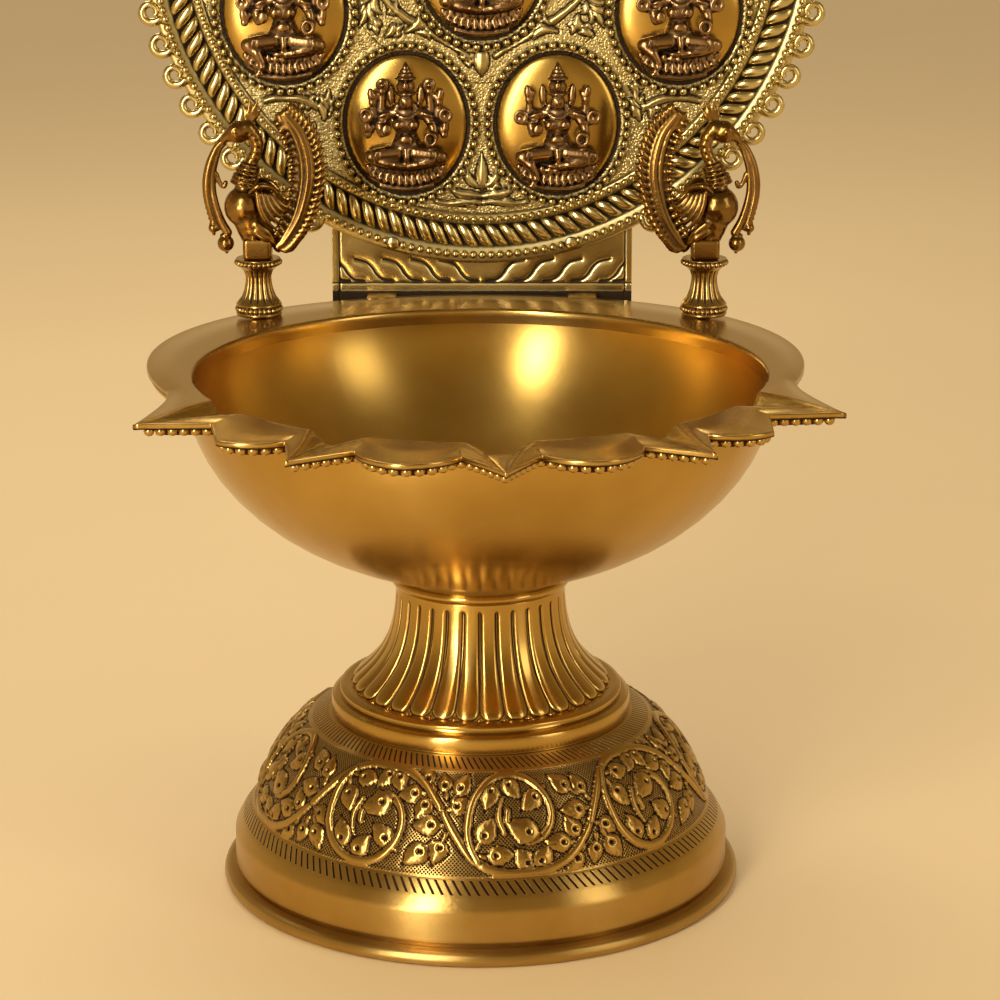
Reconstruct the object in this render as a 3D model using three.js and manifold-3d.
// A brass ritual oil lamp: a hollow domed foot, a fluted stem, a bowl whose flange draws out into five
// wick tips, and a round back plate with eight seated figures, flanked by two peacocks on posts.
// Millimetres, +Z up, the front towards -Y. The origin is under the middle of the lamp's box, on the floor.
import * as THREE from "three";
import { mergeVertices } from "three/addons/utils/BufferGeometryUtils.js";
import Module from "manifold-3d";

const wasm = await Module();
wasm.setup();

// Foot
const FOOT_RADIUS = 108;
const RING_HEIGHT = 6;
const RING_WIDTH = 18;
const BAND_RADIUS = 103;
const BAND_HEIGHT = 19;
const DOME_BASE_RADIUS = 95;
const DOME_TOP_RADIUS = 65;
const DOME_RISE = 47;
const SHOULDER_WIDTH = 3;
const HATCH_RISE = 8;
const TOP_BAND_WIDTH = 6;
const TOP_BAND_DROP = 3;
const FOOT_WALL = 3.5;
const FOOT_TOP_THICKNESS = 5;

// Stem
const STEM_RING_RADIUS = 62;
const STEM_RING_HEIGHT = 12;
const BELL_RADIUS = 54.5;
const BELL_HEIGHT = 42.5;
const THROAT_RADIUS = 34.5;
const STEM_WALL = 5;
const PETALS = 32;
const PETAL_DEPTH = 2.8;
const NECK_RADIUS = 37;
const NECK_HEIGHT = 4.5;

// Bowl and its flange. Angles are from the front, in degrees; the tips lie to both sides alike.
const BOWL_RADIUS = 119;
const BOWL_HEIGHT = 85;
const BOWL_WALL = 3;
const BOWL_FLOOR = 3.5;
const BOWL_SEAT_RADIUS = 35.8;
const FLANGE_THICKNESS = 7.5;
const LIP_THICKNESS = 2.6;
const LIP_OVERHANG = 5.2;
const TIP_RADIUS = 157;
const TIP_ANGLE = 30.5;
const TIP_HALF_WIDTH = 6.5;
const NOTCH_RADIUS = 132;
const LOBE_RADIUS = 147;
const WAIST_RADIUS = 128;
const WAIST_ANGLE = 80;
const BACK_RADIUS = 155;
const BACK_ANGLE = 150;
const CHANNEL_DEPTH = 5;
const BOWL_TURN = 3.8;
const BEADING_DIAMETER = 4.2;
const BEADING_END_ANGLE = 152;

// Centre fastening: one stud from the bowl's boss down to a nut inside the foot
const STUD_RADIUS = 5;
const STUD_TAIL = 6;
const BOSS_RADIUS = 12;
const BOSS_LENGTH = 12;
const WASHER_RADIUS = 24;
const WASHER_THICKNESS = 3;
const NUT_HEIGHT = 8;
const NUT_ACROSS_FLATS = 17;

// Plinth and back plate
const PLINTH_WIDTH = 135;
const PLINTH_THICKNESS = 4;
const PLINTH_DROP = 12;
const PLINTH_LAP = 16;
const LUG_OFFSET = 45;
const LUG_WIDTH = 14;
const LUG_DEPTH = 22;
const SCREW_RADIUS = 2.5;
const SCREW_LENGTH = 14;
const SCREW_DROP = 8;
const PLATE_RADIUS = 157;
const PLATE_THICKNESS = 3.5;
const PLATE_CENTRE_HEIGHT = 162;
const CURL_DEPTH = 8;
const CURLS = 54;
const PLAIN_EDGE_STEPS = 10;
const ROW_FROM_EDGE = 4;
const ROW_SPACING = 16;
const ROW_WIDTH = 5;
const ROW_HEIGHT = 1.6;
const PLATE_RIVET_OFFSET = 40;
const RIVET_RADIUS = 1.8;

// Medallions: places are from the plate's centre, across and up
const MEDALLION_WIDTH = 54;
const MEDALLION_HEIGHT = 62;
const MEDALLION_CROWN = 4.6;
const POCKET_DEPTH = 1.2;
const MEDALLION_PLACES = [
  [-33.5, -86],
  [33.5, -86],
  [-87, -36.5],
  [0, -17],
  [87, -36.5],
  [-78, 42],
  [78, 42],
  [0, 76],
];
const FIGURE_HEIGHT = 52;
const FIGURE_STUD_RADIUS = 2;
const PEEN_HEIGHT = 1.5;

// Peacocks on their posts, which stand near the flange's edge at an angle from the front
const POST_ANGLE = 137.4;
const POST_FROM_EDGE = 11.7;
const POST_HEIGHT = 25;
const POST_RADIUS = 10.5;
const POST_STUD_RADIUS = 3;
const POST_NUT_HEIGHT = 5;
const POST_NUT_ACROSS_FLATS = 10;
const BLOCK_WIDTH = 12.4;
const BLOCK_HEIGHT = 9;
const BIRD_HEIGHT = 50;
const BEAK_REACH = 13;
const BEAK_CUT = 0.5;

const CLEARANCE = 0.3;
const ROUND = 32;
const SMALL_ROUND = 12;
const OVAL_SIDES = 16;

// Places that follow from the sizes above
const DOME_BASE_Z = RING_HEIGHT + BAND_HEIGHT;
const DOME_TOP_Z = DOME_BASE_Z + DOME_RISE;
const BELL_Z = DOME_TOP_Z + STEM_RING_HEIGHT;
const NECK_Z = BELL_Z + BELL_HEIGHT;
const BOWL_Z = NECK_Z + NECK_HEIGHT;
const FLANGE_Z = BOWL_Z + BOWL_HEIGHT;
const FLANGE_UNDER_Z = FLANGE_Z - FLANGE_THICKNESS;
const PLATE_CENTRE_Z = FLANGE_Z + PLATE_CENTRE_HEIGHT;
const BEAD_ROW_RADIUS = PLATE_RADIUS - CURL_DEPTH - ROW_FROM_EDGE;
const INNER_ROW_RADIUS = BEAD_ROW_RADIUS - ROW_SPACING;
const PLINTH_FRONT_Y = BACK_RADIUS + 2;
const PLATE_BACK_Y = PLINTH_FRONT_Y - CLEARANCE;
const PLATE_FRONT_Y = PLATE_BACK_Y - PLATE_THICKNESS;
const MEDALLION_BACK_Y = PLATE_FRONT_Y + POCKET_DEPTH - CLEARANCE;
const CLAMP_Z = DOME_TOP_Z - FOOT_TOP_THICKNESS;
const STUD_TOP_Z = BOWL_Z - 1.3;
const SCREW_Z = FLANGE_Z - SCREW_DROP;
const BIRD_Z = POST_HEIGHT + BLOCK_HEIGHT;
const BEAK_Z = BIRD_Z + 0.84 * BIRD_HEIGHT;
const STEM_BORE = THROAT_RADIUS - STEM_WALL - PETAL_DEPTH;

const FINISHES = {
  satin_brass: { color: 0xb98a3c, roughness: 0.42 },
  polished_brass: { color: 0xc9973c, roughness: 0.18 },
  chased_brass: { color: 0xa98443, roughness: 0.35 },
  dark_bronze: { color: 0x6b4a25, roughness: 0.4 },
  fastener_brass: { color: 0x9c7a3a, roughness: 0.5 },
};

const radians = THREE.MathUtils.degToRad;
const POST_ACROSS = (BACK_RADIUS - POST_FROM_EDGE) * Math.sin(radians(POST_ANGLE));
const POST_BACK = -(BACK_RADIUS - POST_FROM_EDGE) * Math.cos(radians(POST_ANGLE));

// Solids and meshes

// Merges equal vertices and turns the faces outwards.
function tidied(geometry) {
  const bare = new THREE.BufferGeometry();
  bare.setAttribute("position", geometry.getAttribute("position"));
  if (geometry.index) {
    bare.setIndex(geometry.index);
  }
  const merged = mergeVertices(bare, 1e-3);
  const index = Array.from(merged.index.array);
  const kept = [];
  for (let i = 0; i < index.length; i += 3) {
    const [a, b, c] = index.slice(i, i + 3);
    if (a !== b && b !== c && c !== a) {
      kept.push(a, b, c);
    }
  }
  const p = merged.getAttribute("position");
  const at = (i) => new THREE.Vector3().fromBufferAttribute(p, i);
  let volume = 0;
  for (let i = 0; i < kept.length; i += 3) {
    volume += at(kept[i]).dot(at(kept[i + 1]).cross(at(kept[i + 2])));
  }
  if (volume < 0) {
    for (let i = 0; i < kept.length; i += 3) {
      [kept[i + 1], kept[i + 2]] = [kept[i + 2], kept[i + 1]];
    }
  }
  merged.setIndex(kept);
  return merged;
}

function solid(geometry) {
  const merged = tidied(geometry);
  const vertProperties = new Float32Array(merged.getAttribute("position").array);
  const triVerts = new Uint32Array(merged.index.array);
  return new wasm.Manifold(new wasm.Mesh({ numProp: 3, vertProperties, triVerts }));
}

function geometryOf(body) {
  const mesh = body.getMesh();
  const geometry = new THREE.BufferGeometry();
  geometry.setAttribute("position", new THREE.BufferAttribute(mesh.vertProperties, 3));
  geometry.setIndex(new THREE.BufferAttribute(mesh.triVerts, 1));
  geometry.computeVertexNormals();
  return geometry;
}

function named(name, finish, geometry) {
  const { color, roughness } = FINISHES[finish];
  const material = new THREE.MeshStandardMaterial({ color, roughness, metalness: 1 });
  const mesh = new THREE.Mesh(tidied(geometry), material);
  mesh.name = name;
  return mesh;
}

// A revolved solid from (radius, height) points, which start and end on the axis or close on themselves.
function turned(points, segments = ROUND) {
  const outline = points.map(([r, z]) => new THREE.Vector2(r, z));
  if (points[0][0] > 0) {
    outline.push(outline[0].clone());
  }
  return new THREE.LatheGeometry(outline, segments).rotateX(Math.PI / 2);
}

// A closed surface through rings of points, with a fan over each end.
function loft(rings) {
  const count = rings[0].length;
  const points = rings.flat();
  const index = [];
  for (let ring = 0; ring < rings.length - 1; ring++) {
    for (let i = 0; i < count; i++) {
      const j = (i + 1) % count;
      const a = ring * count;
      const b = a + count;
      index.push(a + i, a + j, b + j, a + i, b + j, b + i);
    }
  }
  for (const [ring, reversed] of [[0, true], [rings.length - 1, false]]) {
    const middle = new THREE.Vector3();
    rings[ring].forEach((p) => middle.addScaledVector(p, 1 / count));
    const centre = points.push(middle) - 1;
    for (let i = 0; i < count; i++) {
      const a = ring * count + i;
      const b = ring * count + ((i + 1) % count);
      index.push(centre, reversed ? b : a, reversed ? a : b);
    }
  }
  const geometry = new THREE.BufferGeometry().setFromPoints(points);
  geometry.setIndex(index);
  return geometry;
}

// A tube of changing section along a curve in the X-Z plane. halfSizes(t) gives the half width in the
// plane and the half width across it.
function sweep(curve, steps, sides, halfSizes) {
  const across = new THREE.Vector3(0, 1, 0);
  const rings = [];
  for (let s = 0; s <= steps; s++) {
    const t = s / steps;
    const centre = curve.getPointAt(t);
    const normal = new THREE.Vector3().crossVectors(curve.getTangentAt(t), across);
    const [inPlane, outOfPlane] = halfSizes(t);
    const ring = [];
    for (let i = 0; i < sides; i++) {
      const angle = (2 * Math.PI * (i + 0.5)) / sides;
      const point = centre.clone().addScaledVector(normal, inPlane * Math.cos(angle));
      ring.push(point.addScaledVector(across, outOfPlane * Math.sin(angle)));
    }
    rings.push(ring);
  }
  return loft(rings);
}

function curveThrough(points) {
  return new THREE.CatmullRomCurve3(points.map(([x, z]) => new THREE.Vector3(x, 0, z)));
}

// Linear steps between pairs of (place, value).
function between(stops, t) {
  for (let i = 1; i < stops.length; i++) {
    const [t0, v0] = stops[i - 1];
    const [t1, v1] = stops[i];
    if (t <= t1) {
      return v0 + ((v1 - v0) * (t - t0)) / (t1 - t0);
    }
  }
  return stops[stops.length - 1][1];
}

function cylinderAlongY(radius, fromY, toY, x, z, segments = 7) {
  const geometry = new THREE.CylinderGeometry(radius, radius, toY - fromY, segments);
  return geometry.translate(x, (fromY + toY) / 2, z);
}

function hexNut(acrossFlats, height, boreRadius) {
  const corner = acrossFlats / Math.sqrt(3);
  const shape = new THREE.Shape();
  for (let i = 0; i < 6; i++) {
    const a = (i * Math.PI) / 3;
    shape[i ? "lineTo" : "moveTo"](corner * Math.cos(a), corner * Math.sin(a));
  }
  shape.holes.push(new THREE.Path().absarc(0, 0, boreRadius, 0, 2 * Math.PI, true));
  return new THREE.ExtrudeGeometry(shape, { depth: height, bevelEnabled: false, curveSegments: 6 });
}

// Foot and stem

function baseRing() {
  const inner = FOOT_RADIUS - RING_WIDTH;
  const bead = RING_HEIGHT / 2;
  return turned([
    [inner, 0],
    [FOOT_RADIUS - bead, 0],
    [FOOT_RADIUS - bead * 0.3, bead * 0.3],
    [FOOT_RADIUS, bead],
    [FOOT_RADIUS - bead * 0.3, bead * 1.7],
    [FOOT_RADIUS - bead, RING_HEIGHT],
    [inner, RING_HEIGHT],
  ]);
}

// The dome's swell between its two hatched bands: a quarter of a flattened ellipse.
function domePoint(t, inset) {
  const angle = (t * Math.PI) / 2;
  const power = 2 / 1.4;
  const from = DOME_BASE_Z + HATCH_RISE;
  const rise = DOME_TOP_Z - TOP_BAND_DROP - from;
  const fall = DOME_BASE_RADIUS - DOME_TOP_RADIUS - TOP_BAND_WIDTH;
  const radius = DOME_TOP_RADIUS + TOP_BAND_WIDTH + fall * Math.cos(angle) ** power;
  return [radius - inset, from + (rise - inset * 0.6) * Math.sin(angle) ** power];
}

function footDome() {
  const bottom = RING_HEIGHT;
  const shoulder = BAND_RADIUS - SHOULDER_WIDTH;
  const outside = [0, 0.2, 0.4, 0.6, 0.8, 1].map((t) => domePoint(t, 0));
  const inside = [0.85, 0.55, 0.25].map((t) => domePoint(t, FOOT_WALL));
  const underTop = DOME_TOP_Z - FOOT_TOP_THICKNESS;
  return turned([
    [BAND_RADIUS - FOOT_WALL * 2, bottom],
    [BAND_RADIUS - 1.5, bottom],
    [BAND_RADIUS - 1.5, bottom + 1.5],
    [BAND_RADIUS, bottom + 2.5],
    [BAND_RADIUS, DOME_BASE_Z - SHOULDER_WIDTH],
    [shoulder, DOME_BASE_Z + 2],
    ...outside,
    [DOME_TOP_RADIUS, DOME_TOP_Z],
    [STUD_RADIUS + CLEARANCE, DOME_TOP_Z],
    [STUD_RADIUS + CLEARANCE, underTop],
    [DOME_TOP_RADIUS - FOOT_WALL, underTop],
    ...inside,
    [BAND_RADIUS - FOOT_WALL * 2, DOME_BASE_Z - 3],
  ]);
}

function stemRing() {
  const r = STEM_RING_RADIUS;
  const h = STEM_RING_HEIGHT;
  const inner = STEM_BORE + 12;
  const profile = [
    [inner, 0],
    [r - 2, 0],
    [r, 0.16 * h],
    [r, 0.45 * h],
    [r - 3.2, 0.74 * h],
    [BELL_RADIUS + 0.6, 0.84 * h],
    [BELL_RADIUS + 0.6, h],
    [inner, h],
  ];
  return turned(profile.map(([radius, z]) => [radius, DOME_TOP_Z + z]));
}

// Outer radius of the bell at share u of its height, before the grooves.
function bellRadius(u) {
  return THROAT_RADIUS + (BELL_RADIUS - THROAT_RADIUS) * Math.exp(-4.2 * u ** 1.25);
}

// Convex petals with a sharp groove between neighbours. They start as rounded tips on the ring and run
// out in arches just under the neck.
function flutedStem() {
  const perPetal = 3;
  const steps = PETALS * perPetal;
  const rings = [];
  for (const [u, depth, draw] of [
    [0, 0.9, 3.2],
    [0.035, 1.15, 0.4],
    [0.1, 1.1, 0],
    [0.36, 0.85, 0],
    [0.6, 0.7, 0],
    [0.9, 0.6, 0],
    [0.96, 0, 0],
    [1, 0, 0],
  ]) {
    const ring = [];
    for (let i = 0; i < steps; i++) {
      const fromMiddle = Math.abs((i % perPetal) / perPetal - 0.5) * 2;
      const groove = fromMiddle ** 2.5 * PETAL_DEPTH * depth;
      const radius = bellRadius(u) - draw - groove;
      const angle = (2 * Math.PI * i) / steps;
      const z = BELL_Z + BELL_HEIGHT * u;
      ring.push(new THREE.Vector3(radius * Math.cos(angle), radius * Math.sin(angle), z));
    }
    rings.push(ring);
  }
  const bore = [];
  for (const u of [-0.1, 0, 0.12, 0.4, 1, 1.1]) {
    const share = Math.min(Math.max(u, 0), 1);
    const draw = between([[0, 2], [0.12, 0], [1, 0]], share);
    bore.push([bellRadius(share) - draw - STEM_WALL - PETAL_DEPTH, BELL_Z + BELL_HEIGHT * u]);
  }
  const core = turned([[0, bore[0][1]], ...bore, [0, bore[bore.length - 1][1]]], SMALL_ROUND);
  return geometryOf(solid(loft(rings)).subtract(solid(core)));
}

function neckRing() {
  return turned([
    [STEM_BORE, NECK_Z],
    [THROAT_RADIUS, NECK_Z],
    [NECK_RADIUS, NECK_Z + NECK_HEIGHT * 0.3],
    [NECK_RADIUS, NECK_Z + NECK_HEIGHT * 0.7],
    [BOWL_SEAT_RADIUS, BOWL_Z],
    [STEM_BORE, BOWL_Z],
  ]);
}

// Bowl

// Distance of the flange's edge from the axis, at an angle from the front that leaves out the turn.
function rimRadius(degrees) {
  const a = Math.abs(degrees);
  const lastTip = 2 * TIP_ANGLE;
  if (a <= lastTip) {
    const fromTip = Math.abs(a - TIP_ANGLE * Math.round(a / TIP_ANGLE));
    if (fromTip <= TIP_HALF_WIDTH) {
      return TIP_RADIUS - (TIP_RADIUS - NOTCH_RADIUS) * (fromTip / TIP_HALF_WIDTH) ** 0.8;
    }
    const t = (fromTip - TIP_HALF_WIDTH) / (TIP_ANGLE / 2 - TIP_HALF_WIDTH);
    return NOTCH_RADIUS + (LOBE_RADIUS - NOTCH_RADIUS) * Math.sin((t * Math.PI) / 2) ** 0.7;
  }
  if (a <= WAIST_ANGLE) {
    const t = (a - lastTip) / (WAIST_ANGLE - lastTip);
    return TIP_RADIUS - (TIP_RADIUS - WAIST_RADIUS) * Math.sin((t * Math.PI) / 2) ** 0.85;
  }
  const t = Math.min((a - WAIST_ANGLE) / (BACK_ANGLE - WAIST_ANGLE), 1);
  const swell = 0.7 * Math.sin((t * Math.PI) / 2) + 0.3 * (0.5 - 0.5 * Math.cos(Math.PI * t));
  return WAIST_RADIUS + (BACK_RADIUS - WAIST_RADIUS) * swell;
}

// Angles at which the flange is drawn: every corner, and enough between to keep the curves.
function rimAngles() {
  const side = [0, TIP_HALF_WIDTH / 2, TIP_HALF_WIDTH];
  const lobe = TIP_ANGLE - 2 * TIP_HALF_WIDTH;
  for (let tip = 0; tip < 2; tip++) {
    const start = tip * TIP_ANGLE + TIP_HALF_WIDTH;
    [0.14, 0.5, 0.86].forEach((t) => side.push(start + lobe * t));
    const next = (tip + 1) * TIP_ANGLE;
    [-1, -0.5, 0, 0.5, 1].forEach((t) => side.push(next + t * TIP_HALF_WIDTH));
  }
  const from = 2 * TIP_ANGLE + TIP_HALF_WIDTH;
  const rear = 9;
  for (let i = 1; i <= rear; i++) {
    side.push(from + ((180 - from) * i) / rear);
  }
  const other = side.slice(1, -1).reverse().map((a) => -a);
  return [...side, ...other];
}

const RIM_ANGLES = rimAngles();

function onCircle(radius, degrees, z) {
  const a = radians(degrees + BOWL_TURN);
  return new THREE.Vector3(radius * Math.sin(a), -radius * Math.cos(a), z);
}

function rimOutline(angles) {
  return angles.map((a) => onCircle(rimRadius(a), a, FLANGE_Z));
}

// The outline drawn in by a distance, with mitred corners.
function inset(outline, distance, closed = true) {
  return outline.map((point, i) => {
    const last = outline.length - 1;
    const before = outline[i > 0 ? i - 1 : closed ? last : 0];
    const after = outline[i < last ? i + 1 : closed ? 0 : last];
    const into = point.clone().sub(before).setZ(0).normalize();
    const out = after.clone().sub(point).setZ(0).normalize();
    if (i === 0 && !closed) {
      into.copy(out);
    }
    if (i === last && !closed) {
      out.copy(into);
    }
    const normal = new THREE.Vector3(-into.y - out.y, into.x + out.x, 0);
    const mitre = normal.normalize().dot(new THREE.Vector3(-into.y, into.x, 0));
    return point.clone().addScaledVector(normal, distance / mitre);
  });
}

// How far the wick channel is sunk at an angle, as a share of its depth.
function channelShare(degrees) {
  const a = Math.abs(degrees);
  const tip = Math.min(Math.round(a / TIP_ANGLE), 2) * TIP_ANGLE;
  return Math.max(0, 1 - Math.abs(a - tip) / TIP_HALF_WIDTH);
}

// The bowl's wall curve: radius and height at share t of the way down.
function wallPoint(t, radius, topZ, bottomZ) {
  return [radius * (1 - t ** 1.88) ** 0.507, topZ + (bottomZ - topZ) * t];
}

function bowlShell() {
  const outline = rimOutline(RIM_ANGLES);
  const innerRadius = BOWL_RADIUS - BOWL_WALL;
  const floorZ = BOWL_Z + BOWL_FLOOR;
  const circle = (radius, z) => RIM_ANGLES.map((a) => onCircle(radius, a, z));
  const atHeight = (points, z) => points.map((p) => p.clone().setZ(z));
  const sunk = (share, depth) =>
    RIM_ANGLES.map((a, i) => {
      const radius = innerRadius + (rimRadius(a) - innerRadius) * share;
      return onCircle(radius, RIM_ANGLES[i], FLANGE_Z - channelShare(a) * depth);
    });
  const inside = [0.985, 0.88, 0.68, 0.38].map((t) => {
    const [radius, z] = wallPoint(t, innerRadius, FLANGE_UNDER_Z, floorZ);
    return circle(radius, z);
  });
  const outside = [0, 0.34, 0.62, 0.82, 0.94].map((t) => {
    const [radius, z] = wallPoint(t, BOWL_RADIUS, FLANGE_UNDER_Z, BOWL_Z - 2);
    return circle(radius, z);
  });
  const shoulder = inset(outline, LIP_OVERHANG);
  return loft([
    ...inside,
    circle(innerRadius, FLANGE_UNDER_Z),
    sunk(0, CHANNEL_DEPTH),
    sunk(0.45, CHANNEL_DEPTH * 0.75),
    sunk(1, CHANNEL_DEPTH * 0.2),
    atHeight(outline, FLANGE_Z - LIP_THICKNESS),
    atHeight(shoulder, FLANGE_Z - LIP_THICKNESS),
    atHeight(shoulder, FLANGE_UNDER_Z),
    ...outside,
    circle(BOWL_SEAT_RADIUS, BOWL_Z),
  ]);
}

function bowl() {
  const boss = turned(
    [
      [0, BOWL_Z + BOWL_FLOOR / 2],
      [BOSS_RADIUS, BOWL_Z + BOWL_FLOOR / 2],
      [BOSS_RADIUS, BOWL_Z - BOSS_LENGTH],
      [STUD_RADIUS + CLEARANCE, BOWL_Z - BOSS_LENGTH],
      [STUD_RADIUS + CLEARANCE, STUD_TOP_Z + CLEARANCE],
      [0, STUD_TOP_Z + CLEARANCE],
    ],
    SMALL_ROUND,
  );
  let body = solid(bowlShell()).add(solid(boss));
  const lugTop = FLANGE_Z - LIP_THICKNESS / 2;
  const lugHeight = lugTop - FLANGE_UNDER_Z + PLINTH_DROP - FLANGE_THICKNESS;
  const lugBack = PLINTH_FRONT_Y - CLEARANCE;
  for (const side of [-1, 1]) {
    const lug = new THREE.BoxGeometry(LUG_WIDTH, LUG_DEPTH, lugHeight);
    lug.translate(side * LUG_OFFSET, lugBack - LUG_DEPTH / 2, lugTop - lugHeight / 2);
    body = body.add(solid(lug));
    const hole = SCREW_RADIUS + CLEARANCE;
    const bore = cylinderAlongY(hole, lugBack - SCREW_LENGTH, lugBack + 1, side * LUG_OFFSET, SCREW_Z);
    body = body.subtract(solid(bore));
    const post = new THREE.CylinderGeometry(1, 1, FLANGE_THICKNESS * 2, 12);
    post.scale(POST_STUD_RADIUS + CLEARANCE, 1, POST_STUD_RADIUS + CLEARANCE);
    post.rotateX(Math.PI / 2).translate(side * POST_ACROSS, POST_BACK, FLANGE_Z);
    body = body.subtract(solid(post));
  }
  return geometryOf(body);
}

// The round strip under the lip, on which the row of beads is cut.
function rimBeading() {
  const angles = RIM_ANGLES.filter((a) => Math.abs(a) <= BEADING_END_ANGLE).sort((a, b) => a - b);
  const path = inset(rimOutline(angles), LIP_OVERHANG / 2, false);
  const z = FLANGE_Z - LIP_THICKNESS - BEADING_DIAMETER / 2 - CLEARANCE;
  const sides = 5;
  const rings = path.map((point, i) => {
    const before = path[Math.max(i - 1, 0)];
    const after = path[Math.min(i + 1, path.length - 1)];
    const along = after.clone().sub(before).normalize();
    const sideways = new THREE.Vector3(-along.y, along.x, 0);
    const ring = [];
    for (let k = 0; k < sides; k++) {
      const a = (2 * Math.PI * k) / sides;
      const p = new THREE.Vector3(point.x, point.y, z);
      p.addScaledVector(sideways, (BEADING_DIAMETER / 2) * Math.cos(a));
      p.z += (BEADING_DIAMETER / 2) * Math.sin(a);
      ring.push(p);
    }
    return ring;
  });
  return loft(rings);
}

// Centre fastening

function centreStud() {
  const bottom = CLAMP_Z - WASHER_THICKNESS - NUT_HEIGHT - STUD_TAIL;
  const profile = [[0, bottom], [STUD_RADIUS, bottom], [STUD_RADIUS, STUD_TOP_Z], [0, STUD_TOP_Z]];
  return turned(profile, SMALL_ROUND);
}

function clampWasher() {
  const bottom = CLAMP_Z - WASHER_THICKNESS;
  const bore = STUD_RADIUS + CLEARANCE;
  return turned(
    [[bore, bottom], [WASHER_RADIUS, bottom], [WASHER_RADIUS, CLAMP_Z], [bore, CLAMP_Z]],
    SMALL_ROUND,
  );
}

function clampNut() {
  const nut = hexNut(NUT_ACROSS_FLATS, NUT_HEIGHT, STUD_RADIUS + CLEARANCE);
  return nut.translate(0, 0, CLAMP_Z - WASHER_THICKNESS - NUT_HEIGHT);
}

// Plinth and back plate

// Height of the plate's bead row over a place across from the middle.
function rowHeight(across) {
  return PLATE_CENTRE_Z - Math.sqrt(BEAD_ROW_RADIUS ** 2 - across ** 2);
}

function plinth() {
  const bottom = FLANGE_Z - PLINTH_DROP;
  const top = rowHeight(0) + PLINTH_LAP - ROW_WIDTH / 2;
  const strip = new THREE.BoxGeometry(PLINTH_WIDTH, PLINTH_THICKNESS, top - bottom);
  strip.translate(0, PLINTH_FRONT_Y + PLINTH_THICKNESS / 2, (top + bottom) / 2);
  let body = solid(strip);
  const back = PLINTH_FRONT_Y + PLINTH_THICKNESS;
  for (const side of [-1, 1]) {
    const screw = SCREW_RADIUS + CLEARANCE;
    const rivet = RIVET_RADIUS + CLEARANCE;
    const x = side * PLATE_RIVET_OFFSET;
    const holes = [
      cylinderAlongY(screw, PLINTH_FRONT_Y - 1, back + 1, side * LUG_OFFSET, SCREW_Z),
      cylinderAlongY(rivet, PLINTH_FRONT_Y - 1, back + 1, x, rowHeight(x)),
    ];
    holes.forEach((hole) => {
      body = body.subtract(solid(hole));
    });
  }
  return geometryOf(body);
}

// A screw from behind: a low round head and a shank into the bowl's lug.
function plinthScrew(side) {
  const headFace = PLINTH_FRONT_Y + PLINTH_THICKNESS + CLEARANCE;
  const tip = PLINTH_FRONT_Y - SCREW_LENGTH + 2;
  const profile = [[0, tip], [SCREW_RADIUS, tip], [SCREW_RADIUS, headFace]];
  profile.push([SCREW_RADIUS * 2, headFace], [SCREW_RADIUS * 1.6, headFace + 2.5], [0, headFace + 3]);
  const screw = turned(profile, SMALL_ROUND).rotateX(-Math.PI / 2);
  return screw.translate(side * LUG_OFFSET, 0, SCREW_Z);
}

// A rivet through plate and plinth, whose front head passes for a bead of the border.
function plateRivet(side) {
  const frontHead = PLATE_FRONT_Y - ROW_HEIGHT - CLEARANCE;
  const backHead = PLINTH_FRONT_Y + PLINTH_THICKNESS + CLEARANCE;
  const head = RIVET_RADIUS * 1.6;
  const profile = [[0, frontHead - head * 0.7], [head * 0.7, frontHead - head * 0.5], [head, frontHead]];
  profile.push([RIVET_RADIUS, frontHead], [RIVET_RADIUS, backHead], [head, backHead]);
  profile.push([head * 0.7, backHead + head * 0.5], [0, backHead + head * 0.7]);
  const x = side * PLATE_RIVET_OFFSET;
  return turned(profile, SMALL_ROUND).rotateX(-Math.PI / 2).translate(x, 0, rowHeight(x));
}

// The plate's edge: a plain arc where the plinth stands, and a row of round curls for the rest.
function plateOutline() {
  const root = PLATE_RADIUS - CURL_DEPTH;
  const plain = Math.asin(PLINTH_WIDTH / 2 / root) + radians(1);
  const points = [];
  const add = (radius, angle) => {
    points.push(new THREE.Vector2(radius * Math.sin(angle), -radius * Math.cos(angle)));
  };
  for (let i = 0; i <= PLAIN_EDGE_STEPS; i++) {
    add(root, -plain + (2 * plain * i) / PLAIN_EDGE_STEPS);
  }
  const span = (2 * Math.PI - 2 * plain) / CURLS;
  for (let curl = 0; curl < CURLS; curl++) {
    for (const [t, height] of [[0.25, 1], [0.75, 1], [1, 0]]) {
      if (curl < CURLS - 1 || t < 1) {
        add(root + CURL_DEPTH * height, plain + span * (curl + t));
      }
    }
  }
  return points;
}

function standing(geometry, frontY) {
  return geometry.rotateX(Math.PI / 2).translate(0, frontY, PLATE_CENTRE_Z);
}

function ringRidge(radius) {
  const half = ROW_WIDTH / 2;
  return turned([
    [radius - half, -1],
    [radius + half, -1],
    [radius + half * 0.5, ROW_HEIGHT],
    [radius - half * 0.5, ROW_HEIGHT],
  ]);
}

function oval(width, height, depth) {
  const geometry = new THREE.CylinderGeometry(1, 1, depth, OVAL_SIDES);
  return geometry.scale(width / 2, 1, height / 2);
}

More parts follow.
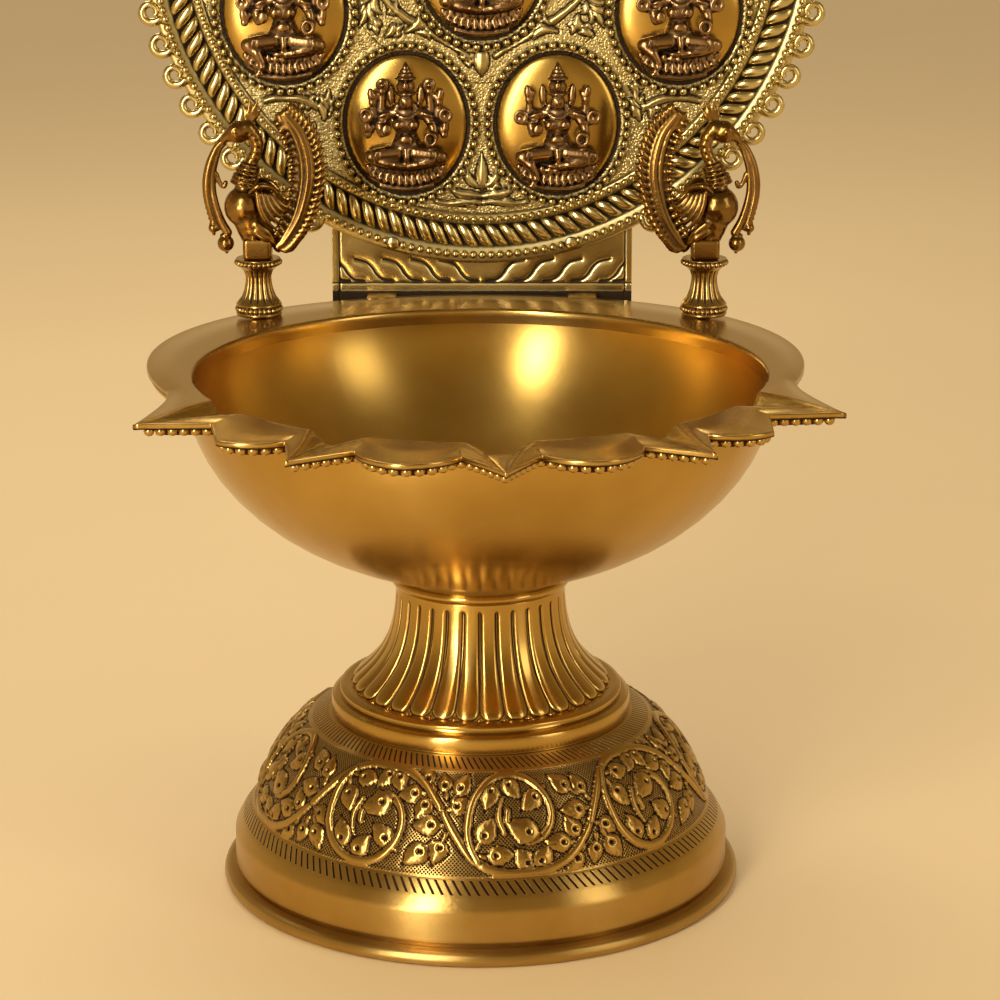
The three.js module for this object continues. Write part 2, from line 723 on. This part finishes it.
function backPlate() {
  const shape = new THREE.Shape(plateOutline());
  const disc = new THREE.ExtrudeGeometry(shape, { depth: PLATE_THICKNESS, bevelEnabled: false });
  let body = solid(standing(disc, PLATE_BACK_Y));
  for (const radius of [BEAD_ROW_RADIUS, INNER_ROW_RADIUS]) {
    body = body.add(solid(standing(ringRidge(radius), PLATE_FRONT_Y)));
  }
  for (const [across, up] of MEDALLION_PLACES) {
    const z = PLATE_CENTRE_Z + up;
    const gap = 2 * CLEARANCE;
    const pocket = oval(MEDALLION_WIDTH + gap, MEDALLION_HEIGHT + gap, POCKET_DEPTH * 2);
    body = body.subtract(solid(pocket.translate(across, PLATE_FRONT_Y, z)));
    const hole = FIGURE_STUD_RADIUS + CLEARANCE;
    body = body.subtract(solid(cylinderAlongY(hole, PLATE_FRONT_Y - 1, PLATE_BACK_Y + 1, across, z)));
  }
  for (const side of [-1, 1]) {
    const x = side * PLATE_RIVET_OFFSET;
    const hole = RIVET_RADIUS + CLEARANCE;
    const bore = cylinderAlongY(hole, PLATE_FRONT_Y - 5, PLATE_BACK_Y + 1, x, rowHeight(x));
    body = body.subtract(solid(bore));
  }
  return geometryOf(body);
}

// Medallions and figures, drawn round their own middle with -Y towards the viewer

function medallion() {
  const segments = OVAL_SIDES;
  const rings = [];
  for (const [share, rise] of [[1, 0], [1, 0.45], [0.9, 0.75], [0.68, 1]]) {
    const ring = [];
    for (let i = 0; i < segments; i++) {
      const a = (2 * Math.PI * i) / segments;
      const x = (MEDALLION_WIDTH / 2) * share * Math.cos(a);
      const z = (MEDALLION_HEIGHT / 2) * share * Math.sin(a);
      ring.push(new THREE.Vector3(x, -MEDALLION_CROWN * rise, z));
    }
    rings.push(ring);
  }
  const bore = cylinderAlongY(FIGURE_STUD_RADIUS + CLEARANCE, -MEDALLION_CROWN - 1, 1, 0, 0);
  return geometryOf(solid(loft(rings)).subtract(solid(bore)));
}

// A seated crowned figure on a lotus: flat behind, round in front. Each row is a height share of the
// figure from its base, a half width and a depth, as shares of its height.
const FIGURE_ROWS = [
  [0, 0.2, 0.07],
  [0.08, 0.31, 0.13],
  [0.15, 0.24, 0.11],
  [0.23, 0.34, 0.17],
  [0.32, 0.25, 0.16],
  [0.4, 0.11, 0.12],
  [0.53, 0.16, 0.15],
  [0.61, 0.17, 0.11],
  [0.65, 0.06, 0.09],
  [0.72, 0.08, 0.13],
  [0.88, 0.045, 0.08],
  [1, 0.01, 0.03],
];

function figure(arms) {
  const section = [[-1, 0], [-0.75, 0.75], [0, 1], [0.75, 0.75], [1, 0]];
  const rings = FIGURE_ROWS.map(([up, halfWidth, depth]) =>
    section.map(([x, y]) => {
      const z = (up - 0.5) * FIGURE_HEIGHT;
      return new THREE.Vector3(x * halfWidth * FIGURE_HEIGHT, -y * depth * FIGURE_HEIGHT, z);
    }),
  );
  let body = solid(loft(rings));
  for (let arm = 0; arm < arms; arm++) {
    const lift = arm / Math.max(arms - 1, 1);
    for (const side of [-1, 1]) {
      const hand = [side * (0.25 + 0.04 * lift), 0.4 + 0.33 * lift];
      const elbow = [side * 0.24, 0.38 + 0.14 * lift];
      const path = [[side * 0.12, 0.58], elbow, hand].map(([x, up]) => [
        x * FIGURE_HEIGHT,
        (up - 0.5) * FIGURE_HEIGHT,
      ]);
      const limb = sweep(curveThrough(path), 2, 3, () => [2, 2.2]);
      body = body.add(solid(limb.translate(0, -0.05 * FIGURE_HEIGHT, 0)));
    }
  }
  const behind = MEDALLION_BACK_Y - PLATE_BACK_Y;
  const crown = MEDALLION_CROWN + CLEARANCE;
  const studBack = crown - behind + CLEARANCE;
  const stud = cylinderAlongY(FIGURE_STUD_RADIUS, -1, studBack + PEEN_HEIGHT / 2, 0, 0);
  const peen = cylinderAlongY(FIGURE_STUD_RADIUS * 2, studBack, studBack + PEEN_HEIGHT, 0, 0);
  return geometryOf(body.add(solid(stud)).add(solid(peen)));
}

// Peacocks, drawn with +X outwards from the lamp and Z up from the flange

function post() {
  const r = POST_RADIUS;
  const h = POST_HEIGHT;
  const stud = -FLANGE_THICKNESS - POST_NUT_HEIGHT - 2;
  return turned(
    [
      [0, stud],
      [POST_STUD_RADIUS, stud],
      [POST_STUD_RADIUS, 0],
      [r, 0],
      [r, 0.12 * h],
      [r * 0.8, 0.18 * h],
      [r * 0.55, 0.4 * h],
      [r * 0.52, 0.56 * h],
      [r * 0.66, 0.76 * h],
      [r * 0.97, 0.9 * h],
      [r * 0.97, h],
      [0, h],
    ],
    SMALL_ROUND,
  );
}

function postNut() {
  const nut = hexNut(POST_NUT_ACROSS_FLATS, POST_NUT_HEIGHT, POST_STUD_RADIUS + CLEARANCE);
  return nut.translate(0, 0, -FLANGE_THICKNESS - POST_NUT_HEIGHT);
}

// Places on a bird: shares of its height outwards from x and up from its block, as a curve.
function birdCurve(x, shares) {
  return curveThrough(shares.map(([out, up]) => [x + out * BIRD_HEIGHT, BIRD_Z + up * BIRD_HEIGHT]));
}

function peacock() {
  const block = new THREE.BoxGeometry(BLOCK_WIDTH, BLOCK_WIDTH, BLOCK_HEIGHT);
  block.translate(0, 0, POST_HEIGHT + BLOCK_HEIGHT / 2);
  const path = birdCurve(0, [
    [0.01, -0.06],
    [0.07, 0.14],
    [0.1, 0.3],
    [0.068, 0.48],
    [0.04, 0.66],
    [0.036, 0.8],
    [0.08, 0.91],
    [0.16, 0.91],
    [BEAK_REACH / BIRD_HEIGHT, 0.84],
  ]);
  const girth = [[0, 0.108], [0.12, 0.152], [0.26, 0.18], [0.4, 0.112], [0.5, 0.068], [0.68, 0.056]];
  girth.push([0.76, 0.086], [0.84, 0.08], [0.9, 0.04], [1, 0.022]);
  const bird = sweep(path, 13, 7, (t) => {
    const half = between(girth, t) * BIRD_HEIGHT;
    return [half, half * 0.92];
  });
  const beyond = new THREE.BoxGeometry(BIRD_HEIGHT, BIRD_HEIGHT, BIRD_HEIGHT / 5);
  beyond.translate(BEAK_REACH - BEAK_CUT + BIRD_HEIGHT / 2, 0, BEAK_Z);
  return geometryOf(solid(block).add(solid(bird)).subtract(solid(beyond)));
}

// The raised tail: a crescent that rises from the block towards the lamp's middle.
function tail() {
  const root = -BLOCK_WIDTH / 2 - CLEARANCE;
  const path = birdCurve(root, [
    [0, -0.08],
    [-0.1, -0.06],
    [-0.26, 0.22],
    [-0.33, 0.6],
    [-0.27, 0.94],
    [-0.12, 1.16],
  ]);
  const width = [[0, 0.06], [0.25, 0.09], [0.6, 0.128], [0.85, 0.108], [1, 0.032]];
  const halfSizes = (t) => [between(width, t) * BIRD_HEIGHT, 0.052 * BIRD_HEIGHT];
  const body = solid(sweep(path, 12, 6, halfSizes));
  const nearBlock = new THREE.BoxGeometry(BLOCK_WIDTH, BLOCK_WIDTH * 2, BIRD_HEIGHT * 0.6);
  nearBlock.translate(root + BLOCK_WIDTH / 2, 0, BIRD_Z);
  return geometryOf(body.subtract(solid(nearBlock)));
}

// The garland that hangs in a bow from the beak and ends in two round drops.
function garland() {
  const start = BEAK_REACH - BEAK_CUT + CLEARANCE;
  const path = birdCurve(start, [
    [0, 0.84],
    [0.07, 0.78],
    [0.14, 0.6],
    [0.152, 0.38],
    [0.104, 0.16],
    [0.032, 0],
  ]);
  const width = [[0, 0.024], [0.2, 0.038], [1, 0.038]];
  const halfSizes = (t) => [between(width, t) * BIRD_HEIGHT, 0.052 * BIRD_HEIGHT];
  let body = solid(sweep(path, 8, 5, halfSizes));
  for (const [out, up, radius] of [[0.092, 0.09, 0.052], [0.012, -0.032, 0.068]]) {
    const drop = new THREE.SphereGeometry(radius * BIRD_HEIGHT, 6, 4);
    drop.translate(start + out * BIRD_HEIGHT, 0, BIRD_Z + up * BIRD_HEIGHT);
    body = body.add(solid(drop));
  }
  const nearBeak = new THREE.BoxGeometry(BIRD_HEIGHT / 5, BIRD_HEIGHT / 5, BIRD_HEIGHT / 5);
  nearBeak.translate(start - BIRD_HEIGHT / 10, 0, BEAK_Z);
  return geometryOf(body.subtract(solid(nearBeak)));
}

// Assembly

const lamp = new THREE.Group();

lamp.add(named("base_ring", "satin_brass", baseRing()));
lamp.add(named("foot_dome", "chased_brass", footDome()));
lamp.add(named("stem_ring", "polished_brass", stemRing()));
lamp.add(named("fluted_stem", "polished_brass", flutedStem()));
lamp.add(named("neck_ring", "polished_brass", neckRing()));
lamp.add(named("centre_stud", "fastener_brass", centreStud()));
lamp.add(named("clamp_washer", "fastener_brass", clampWasher()));
lamp.add(named("clamp_nut", "fastener_brass", clampNut()));
lamp.add(named("bowl", "polished_brass", bowl()));
lamp.add(named("rim_beading", "satin_brass", rimBeading()));
lamp.add(named("plinth", "satin_brass", plinth()));
lamp.add(named("back_plate", "chased_brass", backPlate()));

for (const [word, side] of [["left", -1], ["right", 1]]) {
  lamp.add(named("plinth_screw_" + word, "fastener_brass", plinthScrew(side)));
  lamp.add(named("plate_rivet_" + word, "fastener_brass", plateRivet(side)));

  const stand = new THREE.Group();
  stand.position.set(side * POST_ACROSS, POST_BACK, FLANGE_Z);
  stand.scale.x = side;
  stand.add(named("post_" + word, "dark_bronze", post()));
  stand.add(named("post_nut_" + word, "fastener_brass", postNut()));
  stand.add(named("peacock_" + word, "dark_bronze", peacock()));
  stand.add(named("tail_" + word, "dark_bronze", tail()));
  stand.add(named("garland_" + word, "dark_bronze", garland()));
  lamp.add(stand);
}

MEDALLION_PLACES.forEach(([across, up], i) => {
  const boss = named("medallion_" + (i + 1), "polished_brass", medallion());
  boss.position.set(across, MEDALLION_BACK_Y, PLATE_CENTRE_Z + up);
  lamp.add(boss);
  const seated = named("figure_" + (i + 1), "dark_bronze", figure(i % 3 === 0 ? 2 : 1));
  seated.position.set(across, MEDALLION_BACK_Y - MEDALLION_CROWN - CLEARANCE, PLATE_CENTRE_Z + up);
  lamp.add(seated);
});

const box = new THREE.Box3().setFromObject(lamp);
lamp.position.y = -(box.min.y + box.max.y) / 2;

export default lamp;
